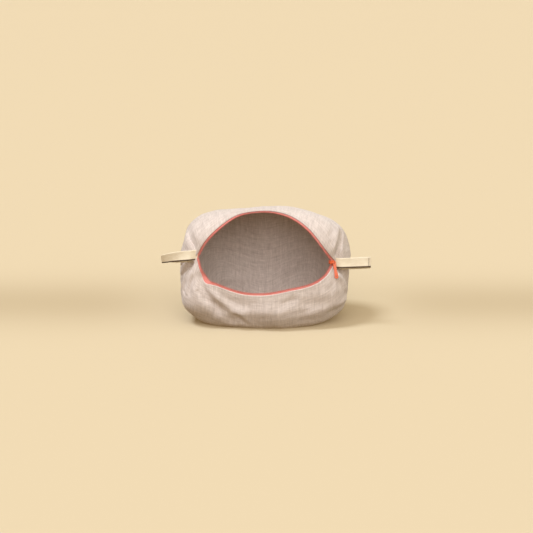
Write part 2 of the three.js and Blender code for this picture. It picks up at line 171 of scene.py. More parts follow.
# Name, from, by, to, reach, lift, share of the lift left at the far end
folds = [
    ("upper right seam", (149, -66, 150), (155, -55, 177), (167, -10, 205), 7, -6, 0.35),
    ("lower right seam", (152, -65, 128), (165, -52, 109), (174, -31, 80), 7, -9, 0.3),
    ("right shoulder", (145, -72, 124), (157, -62, 104), (167, -46, 78), 6, 3.4, 0.4),
    ("upper left seam", (-142, -67, 165), (-151, -55, 184), (-160, -24, 204), 8, -6, 0.4),
    ("lower left seam", (-152, -65, 135), (-166, -50, 116), (-176, -29, 86), 8, -8.5, 0.3),
    ("left shoulder", (-146, -71, 134), (-158, -61, 116), (-168, -44, 88), 7, 3, 0.4),
    ("left valley", (-127, -79, 110), (-112, -82, 66), (-62, -82, 24), 10, -8, 0.5),
    ("slanting ridge", (-112, -83, 86), (-88, -87, 60), (-46, -88, 38), 9, 4, 0.4),
    ("right facet", (164, -46, 56), (140, -70, 50), (92, -84, 38), 9, 4, 0.3),
    ("left pleat", (-150, -67, 122), (-160, -58, 104), (-164, -54, 80), 5, -2.2, 0.5),
    ("inner left pleat", (-141, -72, 120), (-149, -68, 98), (-151, -65, 76), 5, -2.4, 0.5),
    ("left end fold", (-162, 10, 176), (-176, 20, 140), (-177, 6, 96), 10, -4, 0.4),
    ("right end fold", (166, 26, 60), (176, 16, 96), (176, -14, 124), 10, -4, 0.5),
    ("back left fold", (-150, 60, 186), (-116, 84, 150), (-52, 92, 136), 12, -5, 0.3),
    ("back right fold", (158, 52, 176), (120, 84, 136), (64, 92, 104), 12, -5, 0.3),
    ("back low fold", (-146, 60, 44), (-96, 86, 62), (-30, 92, 60), 11, -4, 0.4),
]

# The same columns as the folds
creases = [
    ("edge of the upper right seam", (148, -67, 152), (158, -51, 174), (169, -12, 196), 2.6, -4.4, 0.25),
    ("swell beside it", (141, -72, 154), (147, -62, 178), (155, -22, 204), 6, 2, 0.5),
    ("edge of the lower right seam", (154, -64, 127), (163, -55, 108), (171, -43, 86), 2.8, -3.6, 0.3),
    ("edge of the upper left seam", (-145, -67, 161), (-153, -54, 181), (-159, -28, 194), 2.6, -3, 0.3),
    ("edge of the lower left seam", (-150, -66, 137), (-165, -52, 122), (-175, -31, 102), 2.8, -3.4, 0.3),
    ("hollow under the left tab", (-142, -71, 127), (-136, -75, 116), (-130, -78, 106), 4.5, -2.6, 0.6),
    ("pleat by the left tab", (-151, -66, 130), (-155, -64, 112), (-158, -60, 88), 2.4, -1.3, 0.3),
    ("next left pleat", (-145, -69, 128), (-149, -68, 110), (-152, -66, 84), 2.4, -1.2, 0.3),
    ("middle left pleat", (-137, -73, 122), (-142, -72, 104), (-143, -71, 80), 2.8, -1.2, 0.3),
    ("soft bottom of the left valley", (-125, -79, 108), (-112, -82, 66), (-64, -82, 26), 6.5, 1.4, 0.6),
    ("rounding of the lower left corner", (-170, -24, 18), (-156, -58, 16), (-130, -74, 10), 17, -3.5, 0.8),
    ("roll of the front", (-78, -84, 36), (16, -90, 41), (118, -77, 37), 12, 2.6, 0.9),
    ("lobe crease", (-136, -75, 82), (-124, -79, 68), (-104, -83, 54), 3.2, -1.4, 0.4),
    ("dimple above the base", (-162, -55, 76), (-159, -57, 72), (-154, -61, 70), 3, -1.8, 0.4),
    ("notch in the front", (-60, -89, 30), (-48, -84, 18), (-40, -80, 8), 5, -2.2, 0.5),
    ("right pleat", (150, -66, 122), (157, -60, 100), (156, -60, 76), 3, -1.2, 0.4),
    ("crease under the pull", (132, -76, 118), (138, -74, 92), (128, -78, 70), 4, -1.2, 0.3),
    ("low front crease", (90, -88, 40), (40, -92, 34), (-8, -90, 26), 5, -1.0, 0.4),
    ("front drape", (60, -92, 70), (30, -92, 54), (6, -91, 30), 7, -1.2, 0.3),
    ("upper left slant", (-118, -60, 186), (-122, -36, 206), (-112, -4, 222), 5, -1.2, 0.3),
    ("right shoulder slant", (118, -58, 186), (128, -34, 202), (128, 4, 216), 5, -1.1, 0.3),
    ("end crease", (170, -30, 130), (176, -6, 136), (174, 26, 128), 4, -1.4, 0.3),
    ("left end crease", (-170, -28, 118), (-177, -4, 120), (-172, 30, 112), 4, -1.4, 0.3),
    ("back crease", (-20, 92, 170), (10, 93, 130), (4, 92, 96), 6, -1.6, 0.3),
    ("back corner crease", (140, 72, 60), (110, 84, 46), (72, 90, 40), 5, -1.6, 0.3),
    ("top crease", (-60, 10, 236), (-20, 40, 236), (40, 62, 226), 6, -1.5, 0.3),
]
fold_steps = 10
# A fold raises a low bank beside it and ends further out. Both are counted in its reach
fold_bank = 0.3
fold_bank_at = 1.9
fold_ends_at = 4.5
# Folds are held flat as far as the first of these from the zip and are free past the second
zip_holds = (7, 26)
lumps = {"height": 1.1, "size": 34, "smoothing": 1.0, "finer_by": 2.0, "octaves": 3}
print(len(swells), "swells,", len(folds), "folds,", len(creases), "creases")


# %% Relief of the cloth
def fold_line(start, by, end):
    """Points of a curve that passes through three points."""
    start, by, end = (np.array(p, float) for p in (start, by, end))
    bend = 2 * by - 0.5 * (start + end)
    t = np.linspace(0, 1, fold_steps + 1)[:, None]
    return (1 - t) ** 2 * start + 2 * t * (1 - t) * bend + t**2 * end


def on_body(points):
    """The places on the plain body that lie straight out from its middle through the points."""
    from_middle = points - (0, 0, body["waist"])
    return plain_body(from_middle / half_sizes(from_middle[:, 2]))[0]


def nearest_on_line(points, line):
    """Distance from each point to a fold's line, and how far along the line its foot lies."""
    best = np.full(len(points), np.inf)
    share = np.zeros(len(points))
    for i in range(len(line) - 1):
        step = line[i + 1] - line[i]
        along = np.clip((points - line[i]) @ step / (step @ step), 0, 1)
        gap = np.linalg.norm(points - line[i] - along[:, None] * step, axis=1)
        closer = gap < best
        best = np.where(closer, gap, best)
        share = np.where(closer, (i + along) / (len(line) - 1), share)
    return best, share


def uneven(point):
    """The slight lumps of cloth that is pushed out from within."""
    at = Vector(point) / lumps["size"]
    shape = (lumps["smoothing"], lumps["finer_by"], lumps["octaves"])
    return noise.fractal(at, *shape, noise_basis="PERLIN_ORIGINAL")


# A crease is so narrow that its line must lie on the body, or it would fade out
fold_curves = [(fold_line(*row[1:4]), *row[4:]) for row in folds]
fold_curves += [(on_body(fold_line(*row[1:4])), *row[4:]) for row in creases]


def relief(points, from_zip):
    """How far the cloth stands proud of the plain body. from_zip is the distance from the zip."""
    flat = points.reshape(-1, 3)
    loose = blend_step(np.broadcast_to(from_zip, points.shape[:-1]).reshape(-1), *zip_holds)
    lift = np.zeros(len(flat))
    for _, x, y, z, reach, height in swells:
        lift += height * np.exp(-(((flat - (x, y, z)) ** 2).sum(axis=1)) / reach**2)
    for line, reach, height, fade in fold_curves:
        margin = fold_ends_at * reach
        above = flat > line.min(axis=0) - margin
        near = (above & (flat < line.max(axis=0) + margin)).all(axis=1)
        distance, share = nearest_on_line(flat[near], line)
        away = distance / reach
        bank = fold_bank * np.exp(-((away - fold_bank_at) ** 2))
        strength = loose[near] * (1 + (fade - 1) * share)
        lift[near] += height * strength * (np.exp(-away * away) - bank)
    lift += loose * lumps["height"] * np.array([uneven(p) for p in flat])
    return lift.reshape(points.shape[:-1])


def cloth_points(directions, from_zip):
    """Points of the cloth's outer face, which is flat where it rests."""
    points, normals = plain_body(directions)
    points = points + normals * relief(points, from_zip)[..., None]
    points[..., 2] = np.maximum(points[..., 2], 0)
    return points


def cloth_faces(directions, from_zip, probe=0.008):
    """Points and outward normals of the cloth's outer face."""
    d = unit(directions)
    across = unit(np.cross((0.0, 0.0, 1.0), d))
    up = np.cross(d, across)
    slope_across = cloth_points(d + probe * across, from_zip) - cloth_points(d - probe * across, from_zip)
    slope_up = cloth_points(d + probe * up, from_zip) - cloth_points(d - probe * up, from_zip)
    return cloth_points(d, from_zip), unit(np.cross(slope_across, slope_up))


# %% [markdown]
# ## The mouth and the threads
# The zip's line is where the two panels part. Each panel is laid out along threads that run from
# the zip to the bottom seam, and each thread is measured along the cloth. A point of a panel is
# then a place across and a length of cloth, which also gives the weave its true scale.

# %% Threads
# Each row: side and turn of the lower lip, side and turn of the upper lip
mouth = np.array(
    [
        (-43.6, 24, -43.6, 24),
        (-39.2, 4.2, -34.4, 36.4),
        (-28.2, -4.6, -24, 49.8),
        (-14.5, -11.1, -12.3, 68),
        (0, -11.6, 0, 74),
        (14.8, -7.9, 11.3, 64.4),
        (28.8, -3.2, 22.4, 48),
        (39, 6.2, 34.3, 30),
        (44.8, 18.4, 44.8, 18.4),
    ],
    float,
)
lip_columns = {"front": (0, 1), "back": (2, 3)}
bottom_side = 36
bottom_turn = -140
middle_turn = {"front": -62, "back": 145}
middle_pull = 1.5
middle_crowding = 0.25
path_steps = 128
slant_over = 3
most_slant = 1.8


def running_length(places):
    """Length along a line of places, or along each of several side by side, from its start."""
    steps = np.linalg.norm(np.diff(places, axis=0), axis=-1)
    return np.concatenate([np.zeros((1, *steps.shape[1:])), np.cumsum(steps, axis=0)])


def between(at, known, rows):
    """Rows of three numbers, known at some lengths, read off at other lengths."""
    return np.stack([np.interp(at, known, rows[:, axis]) for axis in range(3)], axis=-1)


def lip_line(panel, across):
    """Side and turn of a lip: a smooth curve through the mouth's rows."""
    rows = mouth[:, lip_columns[panel]]
    last = len(rows) - 1
    place = (np.asarray(across) + 1) / 2 * last
    i = np.clip(np.floor(place).astype(int), 0, last - 1)
    w = (place - i)[..., None]
    before, here = rows[np.maximum(i - 1, 0)], rows[i]
    after, beyond = rows[i + 1], rows[np.minimum(i + 2, last)]
    v0, v1 = (after - before) / 2, (beyond - here) / 2
    cube = 2 * here - 2 * after + v0 + v1
    square = -3 * here + 3 * after - 2 * v0 - v1
    return cube * w**3 + square * w**2 + v0 * w + here


def thread_paths(panel, across):
    """Directions along each thread and the length of cloth from the zip to each of them."""
    lip = lip_line(panel, across)
    start = towards(lip[:, 0], lip[:, 1])
    middle_side = 90 * (across + middle_crowding * (across**3 - across))
    middle = middle_pull * towards(middle_side, middle_turn[panel])
    end = towards(bottom_side * across, bottom_turn)
    t = np.linspace(0, 1, path_steps + 1)[None, :, None]
    path = (1 - t) ** 2 * start[:, None] + 2 * t * (1 - t) * middle[:, None] + t**2 * end[:, None]
    points, _ = plain_body(path)
    return path, running_length(points.transpose(1, 0, 2)).T


def slants(panel, across, probe=0.02):
    """A thread that leaves the zip on a slant needs more length to clear the tape's width."""
    near = across - np.where(across > 0, probe, -probe)
    path, _ = thread_paths(panel, across)
    beside, _ = thread_paths(panel, near)
    here, _ = plain_body(path[:, 0])
    along = plain_body(beside[:, 0])[0] - here
    down = plain_body(path[:, slant_over])[0] - here
    cosine = (unit(along) * unit(down)).sum(axis=-1)
    return np.minimum(1 / np.sqrt(np.maximum(1 - cosine**2, 1e-6)), most_slant)


def on_threads(path, lengths, distances):
    """Directions at the given lengths of cloth, a row of lengths for each thread."""
    return np.stack([between(*thread) for thread in zip(distances, lengths, path)])


for panel in ("front", "back"):
    _, lengths = thread_paths(panel, np.array([-0.9, 0.0, 0.9]))
    print(panel, "thread lengths in mm:", np.round(lengths[:, -1], 1))

# %% [markdown]
# ## Putting a sheet on the cloth
# A sheet starts as a flat grid. Every row gets a length of cloth from the zip and a depth below
# the outer face, and every column a place across. The grid's points then move onto the cloth. The
# grid also keeps its own flat sizes as a UV map in metres, so that threads are woven at true size.

# %% Helpers for sheets
def link(data, name):
    """A new object at the origin with this mesh or curve."""
    piece = bpy.data.objects.new(name, data)
    bpy.context.scene.collection.objects.link(piece)
    return piece


def piece_from(shape, name):
    """A new object from a bmesh shape."""
    mesh = bpy.data.meshes.new(name)
    shape.to_mesh(mesh)
    shape.free()
    return link(mesh, name)


def grid_piece(name, places, flat_sizes, mirrored=False):
    """A grid moved to places, with flat_sizes as its UV map, both in mm. mirrored turns its faces."""
    columns, rows = places.shape[0] - 1, places.shape[1] - 1
    shape = bmesh.new()
    bmesh.ops.create_grid(shape, x_segments=columns, y_segments=rows, size=0.5)
    uv = shape.loops.layers.uv.new("cloth")
    spots = {}
    for vertex in shape.verts:
        column = round((vertex.co.x + 0.5) * columns)
        row = round((vertex.co.y + 0.5) * rows) if mirrored else round((0.5 - vertex.co.y) * rows)
        spots[vertex] = (column, row)
        vertex.co = Vector(places[column, row]) * mm
    for face in shape.faces:
        face.smooth = True
        for loop in face.loops:
            loop[uv].uv = Vector(flat_sizes[spots[loop.vert]]) * mm
    return piece_from(shape, name)


def grid_normals(places, mirrored=False):
    """Outward normals of a grid of places."""
    along = np.gradient(places, axis=0)
    down = np.gradient(places, axis=1)
    normals = np.cross(along, down) if mirrored else np.cross(down, along)
    return unit(normals)


def add_thickness(piece, thickness):
    """Gives a sheet its thickness to both sides of its middle, and applies it."""
    solid = piece.modifiers.new("thickness", "SOLIDIFY")
    solid.thickness = thickness * mm
    solid.offset = 0
    solid.use_even_offset = False
    mesh = finished_mesh(piece)
    piece.modifiers.clear()
    piece.data = mesh


def finished_mesh(piece):
    """The mesh that an object makes with its modifiers or its bevel."""
    view = bpy.context.evaluated_depsgraph_get()
    return bpy.data.meshes.new_from_object(piece.evaluated_get(view))


def mesh_from_curve(curve):
    """The mesh that a curve makes with its bevel."""
    drawn = link(curve, "drawn")
    mesh = finished_mesh(drawn)
    bpy.data.objects.remove(drawn)
    return mesh


def surface_area(piece):
    """Area of a piece's faces, on both sides of a sheet, in square metres."""
    return sum(face.area for face in piece.data.polygons)


def triangles(piece):
    """How many triangles a piece's faces come to."""
    return sum(len(face.vertices) - 2 for face in piece.data.polygons)


# %% [markdown]
# ## The two panels
# Each panel is one piece of linen. Its long edge is turned under at the zip as a narrow hem, and
# its other edges dip into the end seams and the bottom seam, where the sewing gathers the cloth
# a little. The hem's fold could be bevelled from a plain edge. Here the rows of the grid run
# around it, because a real hem is two layers with a soft round fold.

# %% Panels
linen_thickness = 0.9
lip_allowance = 4
# Stretches where more of the tape shows: panel, place across, reach, how much more
wide_tape = [("front", -0.69, 0.09, 5), ("front", 1, 0.12, 1.4), ("back", 1, 0.12, 2)]
panel_columns = 260
panel_rows = 150
# Distance from the hem's fold and depth of the cloth's middle, from the turned edge to the face
hem_profile = np.array(
    [
        (11, 1.6),
        (6, 1.65),
        (2.6, 1.65),
        (1.0, 1.6),
        (0.3, 1.42),
        (0.0, 1.08),
        (0.25, 0.72),
        (0.9, 0.5),
        (1.8, 0.46),
        (2.6, 0.62),
        (3.4, 0.46),
        (6, 0.45),
        (9, 0.45),
        (12, 0.45),
    ]
)
seam_dip = 2.4
seam_width = 2.3
pucker_lift = 0.55
pucker_pitch = 11
pucker_reach = 8
# The puckers come a little early or late, by up to this angle, which drifts over this length
pucker_strays = 1.3
pucker_strays_over = 17
end_crowding = 0.12


def places_across(columns):
    """Places across from one end to the other, a little closer together towards the ends."""
    flat = np.linspace(-1, 1, columns + 1)
    return flat + end_crowding * (flat - flat**3)


def allowance(panel, across):
    """Width of tape that shows beside the zip."""
    shown = np.full_like(across, float(lip_allowance))
    for side, middle, reach, more in wide_tape:
        if side == panel:
            shown += more * np.exp(-(((across - middle) / reach) ** 2))
    return shown


def row_lengths(places):
    """Length along each row, counted from the middle column."""
    along = running_length(places)
    return along - along[len(places) // 2]


def panel_piece(panel):
    """A panel as a sheet: around its hem, over the cloth and into the seams."""
    across = places_across(panel_columns)
    path, lengths = thread_paths(panel, across)
    slant = slants(panel, across)[:, None]
    total = lengths[:, -1:]
    hem = (allowance(panel, across)[:, None] + hem_profile[None, :, 0]) * slant
    share = np.linspace(0, 1, panel_rows + 1)[None, 1:]
    distances = np.concatenate([hem, hem[:, -1:] + (total - hem[:, -1:]) * share], axis=1)
    depth = np.concatenate([hem_profile[:, 1], np.full(panel_rows, linen_thickness / 2)])
    places = cloth_points(on_threads(path, lengths, distances), distances / slant)
    along = row_lengths(places)
    down = np.maximum(total - distances, 0)
    to_end = np.minimum(along - along[:1], along[-1:] - along)
    to_seam = np.minimum(to_end, down)
    run = np.where(to_end < down, distances, along)
    stray = pucker_strays * np.sin(run / pucker_strays_over)
    pucker = pucker_lift * np.sin(2 * np.pi * run / pucker_pitch + stray)
    gather = pucker * np.exp(-((to_seam / pucker_reach) ** 2))
    sink = depth[None, :] + seam_dip * np.exp(-((to_seam / seam_width) ** 2)) - gather
    mirrored = panel == "back"
    normals = hem_normals(path, lengths, slant, distances, mirrored)
    lower = places - normals * sink[..., None]
    lower[..., 2] = np.maximum(lower[..., 2], depth[None, :])
    sizes = np.stack([along, distances * np.ones_like(along)], axis=-1)
    piece = grid_piece(panel + "_linen", lower, sizes, mirrored)
    add_thickness(piece, linen_thickness)
    return piece


def hem_normals(path, lengths, slant, distances, mirrored):
    """Normals for rows that double back at the hem, taken from an even grid over the same cloth."""
    even = np.linspace(0, 1, panel_rows + 1)[None, :] * lengths[:, -1:]
    even_places = cloth_points(on_threads(path, lengths, even), even / slant)
    return unit(on_threads(grid_normals(even_places, mirrored), even, distances))


front_linen = panel_piece("front")
back_linen = panel_piece("back")
for piece in (front_linen, back_linen):
    print(piece.name, triangles(piece), "triangles,", round(surface_area(piece) / 2, 4), "m2 a side")

# %% [markdown]
# ## The zip's tapes and coils
# Each tape is a woven strip that shows as a narrow line inside the mouth. It is sewn behind the
# hem, so it lies under the linen at one depth. The coil along its edge is a plastic wire wound
# round and round. It could be an array of teeth on a curve. A helix along the zip's line is
# nearer the real one, which is one long wire.

# %% Zip tapes
tape_thickness = 0.55
tape_depth = 3.2
tape_edges = (0.5, 16)
tape_columns = 320
tape_rows = 10


def tape_piece(panel):
    """A panel's zip tape as a sheet that lies under the hem."""
    across = places_across(tape_columns)
    path, lengths = thread_paths(panel, across)
    slant = slants(panel, across)[:, None]
    distances = np.linspace(*tape_edges, tape_rows + 1)[None, :] * slant
    points, normals = cloth_faces(on_threads(path, lengths, distances), distances / slant)
    places = points - normals * tape_depth
    sizes = np.stack([row_lengths(places), distances / slant], axis=-1)
    name = {"front": "lower_tape", "back": "upper_tape"}[panel]
    piece = grid_piece(name, places, sizes, panel == "back")
    add_thickness(piece, tape_thickness)
    return piece


lower_tape = tape_piece("front")
upper_tape = tape_piece("back")
print("tapes:", triangles(lower_tape), triangles(upper_tape), "triangles")

# %% Coils
coil_pitch = 1.5
coil_points_a_turn = 8
coil_wire = 0.33
coil_half_width = 1.25
coil_half_height = 0.9
# How far towards its ends a lip carries its coil and its stitches
lip_reach = 0.985
lip_stations = 400


def lip_frame(panel):
    """Places along a lip at the depth of the tape, with the directions beside it and outwards."""
    across = np.linspace(-lip_reach, lip_reach, lip_stations + 1)
    path, _ = thread_paths(panel, across)
    points, normals = cloth_faces(path[:, :1], np.zeros((len(across), 1)))
    middle = (points - normals * tape_depth)[:, 0]
    along = unit(np.gradient(middle, axis=0))
    return middle, unit(np.cross(normals[:, 0], along)), normals[:, 0]


def coil_piece(panel):
    """The wire of a coil, wound along a lip."""
    middle, beside, normals = lip_frame(panel)
    run = running_length(middle)
    count = int(run[-1] / coil_pitch) * coil_points_a_turn
    places = np.linspace(0, run[-1], count + 1)
    angle = 2 * np.pi * np.arange(count + 1)[:, None] / coil_points_a_turn
    wide = between(places, run, beside) * coil_half_width * np.cos(angle)
    high = between(places, run, normals) * coil_half_height * np.sin(angle)
    spots = between(places, run, middle) + wide + high
    curve = bpy.data.curves.new("coil", "CURVE")
    curve.dimensions = "3D"
    curve.bevel_depth = coil_wire * mm
    curve.bevel_resolution = 0
    curve.use_fill_caps = True
    spline = curve.splines.new("POLY")
    spline.points.add(count)
    for point, spot in zip(spline.points, spots):
        point.co = (*(Vector(spot) * mm), 1)
    mesh = mesh_from_curve(curve)
    for face in mesh.polygons:
        face.use_smooth = True
    return link(mesh, {"front": "lower_coil", "back": "upper_coil"}[panel])


lower_coil = coil_piece("front")
upper_coil = coil_piece("back")
print("coils:", triangles(lower_coil), triangles(upper_coil), "triangles")

# %% [markdown]
# ## The slider and its pull
# The slider is two cast plates on a post, with a bridge that the pull's eye hangs on. The plates
# and the pull are flat outlines with softly rounded edges. They could be cut from blocks. A flat
# filled curve with a bevel gives the outline, the holes and the rounded edge together.

# %% Plates from outlines
hole_corners = 24
same_corner = 0.002
sharp_from = math.radians(40)


def plate_piece(outline, holes, thickness, edge):
    """A bmesh plate in millimetres from an outline and round holes (x, y, radius)."""
    curve = bpy.data.curves.new("plate", "CURVE")
    curve.dimensions = "2D"
    curve.fill_mode = "BOTH"
    curve.extrude = thickness / 2 - edge
    curve.bevel_depth = edge
    curve.bevel_resolution = 3
    curve.offset = -edge
    rings = [outline]
    for x, y, radius in holes:
        turn = np.linspace(0, 2 * np.pi, hole_corners + 1)[:-1]
        rings.append([(x + radius * math.cos(a), y + radius * math.sin(a)) for a in turn])
    for ring in rings:
        spline = curve.splines.new("POLY")
        spline.points.add(len(ring) - 1)
        for point, (x, y) in zip(spline.points, ring):
            point.co = (x, y, 0, 1)
        spline.use_cyclic_u = True
    shape = bmesh.new()
    shape.from_mesh(mesh_from_curve(curve))
    bmesh.ops.remove_doubles(shape, verts=shape.verts, dist=same_corner)
    bmesh.ops.recalc_face_normals(shape, faces=shape.faces)
    return shape


def join_shapes(shapes, name, place):
    """One piece from several bmesh shapes in millimetres, set at a place in metres."""
    whole = bmesh.new()
    for shape in shapes:
        part = bpy.data.meshes.new("part")
        shape.to_mesh(part)
        shape.free()
        whole.from_mesh(part)
        bpy.data.meshes.remove(part)
    bmesh.ops.transform(whole, verts=whole.verts, matrix=place @ Matrix.Scale(mm, 4))
    for face in whole.faces:
        face.smooth = True
    piece = piece_from(whole, name)
    piece.data.set_sharp_from_angle(angle=sharp_from)
    return piece


def frame_of(x_way, y_way, z_way, origin):
    """A placing matrix from three directions and an origin in millimetres."""
    turned = Matrix((x_way, y_way, z_way)).transposed().to_4x4()
    return Matrix.Translation(Vector(origin) * mm) @ turned


# %% Slider
plate = {
    "length": 11, "width": 8.4, "waist": 5, "nose": 0.5, "notch": 1.2,
    "thickness": 1.4, "edge": 0.45, "stand_off": 2,
}
post = {"length": 2.2, "width": 2, "x": -3.9}
bridge = {"reach": 3.9, "height": 5.2, "wire": 1.4, "width": 1.6, "sides": 16, "steps": 24}
plate_top = plate["stand_off"] + plate["thickness"]
bite = 0.2
slider_seat = (44.1, 18.4)


def bend(start, by, end, steps=8):
    """Points of a flat curve from start to end that leans towards by, without its last point."""
    t = np.linspace(0, 1, steps + 1)[:-1, None]
    start, by, end = (np.array(p, float) for p in (start, by, end))
    return ((1 - t) ** 2 * start + 2 * t * (1 - t) * by + t**2 * end).tolist()


def plate_outline():
    """The slider's outline: broad where the two tapes enter, with a notch between them."""
    half, wide, waist = plate["length"] / 2, plate["width"] / 2, plate["waist"] / 2
    points = bend((-half, -wide / 2), (-half, -wide), (-half / 3, -wide))
    points += bend((-half / 3, -wide), (half / 2, -wide), (half, -waist))
    points += bend((half, -waist), (half + plate["nose"], 0), (half, waist))
    points += bend((half, waist), (half / 2, wide), (-half / 3, wide))
    points += bend((-half / 3, wide), (-half, wide), (-half, wide / 2))
    points += bend((-half, wide / 2), (-half + plate["notch"], 0), (-half, -wide / 2))
    return points


def slider_shapes():
    """Both plates, the post between them and the bridge."""
    upper = plate_piece(plate_outline(), [], plate["thickness"], plate["edge"])
    lower = upper.copy()
    middle = plate["stand_off"] + plate["thickness"] / 2
    bmesh.ops.translate(upper, verts=upper.verts, vec=(0, 0, middle))
    bmesh.ops.translate(lower, verts=lower.verts, vec=(0, 0, -middle))
    pillar = bmesh.new()
    size = (post["length"], post["width"], 2 * (plate["stand_off"] + bite))
    bmesh.ops.create_cube(pillar, size=1, matrix=Matrix.Diagonal((*size, 1)))
    bmesh.ops.translate(pillar, verts=pillar.verts, vec=(post["x"], 0, 0))
    arch = bmesh.new()
    wire = bridge["wire"] / 2
    ring = bmesh.ops.create_circle(arch, segments=bridge["sides"], radius=wire)["verts"]
    bmesh.ops.translate(arch, verts=ring, vec=(bridge["reach"] - wire, 0, 0))
    half_turn = {"cent": (0, 0, 0), "axis": (0, -1, 0), "angle": math.pi}
    bmesh.ops.spin(arch, geom=ring + arch.edges[:], steps=bridge["steps"], **half_turn)
    rise = (bridge["height"] - wire) / (bridge["reach"] - wire)
    bmesh.ops.scale(arch, verts=arch.verts, vec=(1, bridge["width"] / bridge["wire"], rise))
    bmesh.ops.translate(arch, verts=arch.verts, vec=(0, 0, plate_top - bite))
    bmesh.ops.recalc_face_normals(arch, faces=arch.faces)
    return [upper, lower, pillar, arch]


seat, out = cloth_faces(towards(*slider_seat)[None, :], np.zeros(1))
out_way = Vector(out[0])
along_way = Vector((0, 0, 1)).cross(out_way).normalized()
up_way = out_way.cross(along_way)
slider_place = frame_of(along_way, up_way, out_way, Vector(seat[0]) - out_way * tape_depth)
slider = join_shapes(slider_shapes(), "slider", slider_place)

# %% Pull
pull = {
    "length": 37,
    "head": 7.4,
    "waist": 6.2,
    "waist_at": 16,
    "foot": 8.6,
    "thickness": 1.3,
    "edge": 0.4,
    "eye": 4.4,
    "hole": 2.6,
    "slant": 2,
}
pull_stand_off = 1.2
pull_clear = 2.8
pull_hang = 0.6
pull_rests = (48.2, 0.5)
leg_share = (pull_stand_off + pull["thickness"] / 2) / (bridge["height"] - bridge["wire"] / 2)
eye_at = (bridge["reach"] - bridge["wire"] / 2) * math.sqrt(1 - leg_share**2)


def arc(y, radius, start, end, steps=16):
    """Points of an arc round (0, y), between two angles in degrees."""
    turn = np.radians(np.linspace(start, end, steps + 1))
    return [(radius * math.cos(a), y + radius * math.sin(a)) for a in turn]


def pull_shape():
    """The pull as a flat plate with its eye at the top and a hole in its foot."""
    head, waist, foot = pull["head"] / 2, pull["waist"] / 2, pull["foot"] / 2
    foot_at = head + foot - pull["length"]
    outline = arc(0, head, 0, 180)
    outline += [(-waist, -pull["waist_at"])]
    outline += arc(foot_at, foot, 180, 360)
    outline += [(waist, -pull["waist_at"])]
    holes = [(0, 0, pull["eye"] / 2), (0, foot_at, pull["hole"] / 2)]
    shape = plate_piece(outline, holes, pull["thickness"], pull["edge"])
    bmesh.ops.translate(shape, verts=shape.verts, vec=(0, -pull_hang, 0))
    return shape


eye_height = plate_top + pull_stand_off + pull["thickness"] / 2
under = cloth_points(towards(*pull_rests)[None, :], np.full(1, float(pull["length"])))[0]
rest = slider_place.inverted() @ (Vector(under) * mm) / mm
rise = rest.z + pull_clear + pull["thickness"] / 2 - eye_height
tilt = -math.asin(rise / pull["length"])
hang = Matrix.Rotation(tilt, 4, "X") @ Matrix.Rotation(math.radians(pull["slant"]), 4, "Z")
eye_spot = Matrix.Translation(Vector((eye_at, 0, eye_height)) * mm)
zip_pull = join_shapes([pull_shape()], "pull", slider_place @ eye_spot @ hang)

# %% [markdown]
# ## The ribbon tabs
# A tab is one length of ribbon folded double, with both ends sewn into the seam beside the zip.
# Its layers part towards their lower edges, and the rear one hangs lower. It could be a thin block
# with a groove. A strip bent back on itself shows the gap between the layers, as the real one
# does, and keeps the thread's direction along the ribbon.

# %% Tabs
ribbon = {
    "width": 21, "thickness": 0.75, "layer": 1.3, "rear_drop": 4.8, "drop_run": 0.15, "spread": 2.3
}
ribbon_rows = 12
ribbon_widths = np.linspace(-0.5, 0.5, ribbon_rows + 1) * ribbon["width"]
# From the middle of the folded ribbon to its outer face, with a little room
half_fold = 1.8
right_tab = {
    "side": 1, "length": 68.8, "root": 10, "raise": 0.7, "stand": 1.6,
    "yaw": 6, "lift": 1, "twist": 3, "droop": 0,
}
left_tab = {
    "side": -1, "length": 67.4, "root": 8, "raise": 6.1, "stand": 1.2,
    "yaw": 6, "lift": -6, "twist": -36, "droop": 3,
}
tuck_depth = 5.5
tuck_run = 6.5
# The ribbon starts to turn into the seam at this distance, where its layers lie closer by a share
root_run = 6
root_closes = 0.55
root_steps = 13
straight_steps = 45
turn_steps = 10
# A slight wave: its height, its lengths, a shift for the rear layer and how fast each end fades
wave = {"height": 0.35, "along": 9, "across": 7, "rear_shift": 2, "root_fade": 4, "fold_fade": 6}


def ribbon_path(tab):
    """Middle line of the folded ribbon: along the tab and back, as rows of (x, y)."""
    layer = ribbon["layer"]
    straight = tab["length"] - layer - ribbon["thickness"] / 2
    root = np.linspace(-tuck_run, root_run, root_steps + 1)[:-1]
    out = np.concatenate([root, np.linspace(root_run, straight, straight_steps + 1)])
    turn = np.radians(np.linspace(-90, 90, turn_steps + 1))[1:-1]
    lower = np.stack([out, np.full_like(out, -layer)], axis=-1)
    fold = np.stack([straight + layer * np.cos(turn), layer * np.sin(turn)], axis=-1)
    return np.concatenate([lower, fold, lower[::-1] * (1, -1)])


def ribbon_wave(x, y, width, share):
    """A slight wave of the ribbon, which fades towards its root and its fold."""
    turn = x / wave["along"] + width / wave["across"] + (wave["rear_shift"] if y > 0 else 0)
    fade = min(share * wave["root_fade"], 1) * min((1 - share) * wave["fold_fade"], 1)
    return wave["height"] * math.sin(turn) * fade


